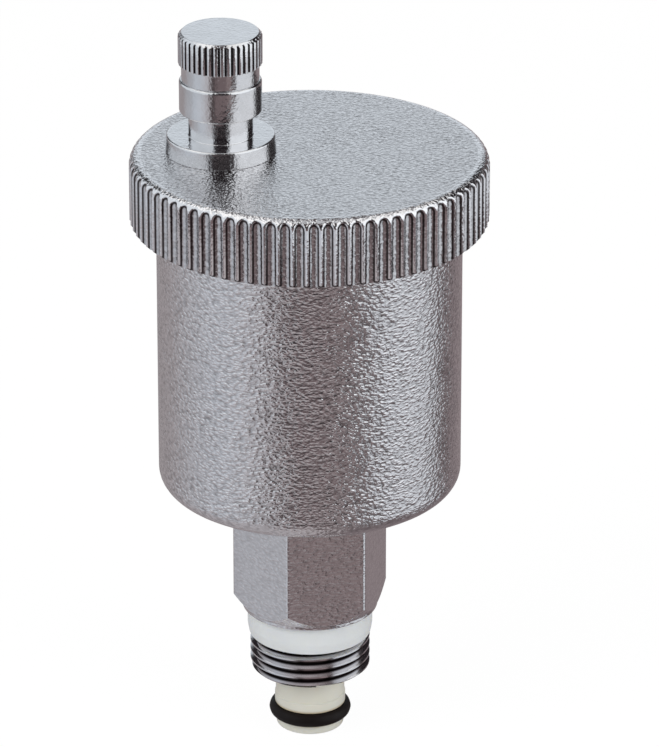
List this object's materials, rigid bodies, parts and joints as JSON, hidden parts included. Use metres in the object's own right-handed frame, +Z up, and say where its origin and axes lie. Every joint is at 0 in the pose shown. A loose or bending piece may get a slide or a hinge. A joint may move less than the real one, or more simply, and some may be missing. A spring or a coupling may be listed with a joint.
{
  "type": "automatic air vent",
  "caption": "Plated automatic air vent: round cast bowl with hexagon, threaded inlet and sealed spigot, fluted screw lid, off-centre vent post with knurled cap, float-worked valve inside.",
  "frame": {"origin": "on the inlet thread's axis, in the plane of the sealing ring's lower face where the thread ends", "axes": "+Z up along the bowl's axis, away from the inlet; the vent post stands on the -X side"},
  "size_m": [0.0488, 0.0488, 0.103],
  "materials": {
    "cast_plating": "chrome plating over an orange-peel casting",
    "polished_plating": "chrome plating over turned and polished brass",
    "white_seal": "soft white, waxy",
    "cream_plastic": "moulded, slightly translucent",
    "black_rubber": "matt black",
    "fibre": "pressed fibre",
    "bare_brass": "turned",
    "stainless_steel": "drawn and stamped",
    "lever_plastic": "moulded",
    "float_plastic": "moulded, welded"
  },
  "bodies": {
    "body": {"body": "cast_plating", "thread_seal": "white_seal", "spigot": "cream_plastic", "spigot_oring": "black_rubber"},
    "gasket": {"lid_gasket": "black_rubber"},
    "lid": {"lid": "cast_plating", "vent_post": "polished_plating", "post_gasket": "fibre", "post_nut": "bare_brass", "lever_bracket": "stainless_steel", "pivot_pin": "stainless_steel", "pin_clip": "stainless_steel", "valve_spring": "stainless_steel"},
    "lever": {"lever": "lever_plastic"},
    "stem": {"valve_stem": "stainless_steel", "stem_seal": "black_rubber", "stem_collar": "bare_brass", "stem_clip": "stainless_steel"},
    "float": {"float_top": "float_plastic", "float_bottom": "float_plastic", "float_yoke": "float_plastic", "float_pin": "stainless_steel"},
    "washer": {"cap_washer": "black_rubber"},
    "cap": {"vent_cap": "polished_plating"}
  },
  "joints": [
    {"name": "lid_rise", "type": "slide", "parent": "body", "child": "gasket", "axis": [0, 0, 1], "range_m": [0, 0.0045]},
    {"name": "lid_turn", "type": "hinge", "parent": "gasket", "child": "lid", "pos_m": [0, 0, 0.0675], "axis": [0, 0, 1], "range_deg": [0, 1080]},
    {"name": "cap_rise", "type": "slide", "parent": "lid", "child": "washer", "axis": [0, 0, 1], "range_m": [0, 0.0015]},
    {"name": "cap_turn", "type": "hinge", "parent": "washer", "child": "cap", "pos_m": [-0.012, 0, 0.082], "axis": [0, 0, 1], "range_deg": [0, 720]},
    {"name": "float_rise", "type": "slide", "parent": "lid", "child": "float", "axis": [0, 0, 1], "range_m": [0, 0.0045]},
    {"name": "lever_tilt", "type": "hinge", "parent": "lid", "child": "lever", "pos_m": [-0.0164, 0, 0.06045], "axis": [0, -1, 0], "range_deg": [0, 15.78]},
    {"name": "stem_slide", "type": "slide", "parent": "lid", "child": "stem", "axis": [0, 0, 1], "range_m": [0, 0.00121], "deforming": ["valve_spring"]}
  ],
  "couplings": [
    {"joint": "lid_rise", "follows": "lid_turn", "m_per_rad": 0.00023873},
    {"joint": "cap_rise", "follows": "cap_turn", "m_per_rad": 0.00011936},
    {"joint": "lever_tilt", "follows": "float_rise", "rad_per_m": 61.169},
    {"joint": "stem_slide", "follows": "float_rise", "ratio": 0.26829}
  ]
}
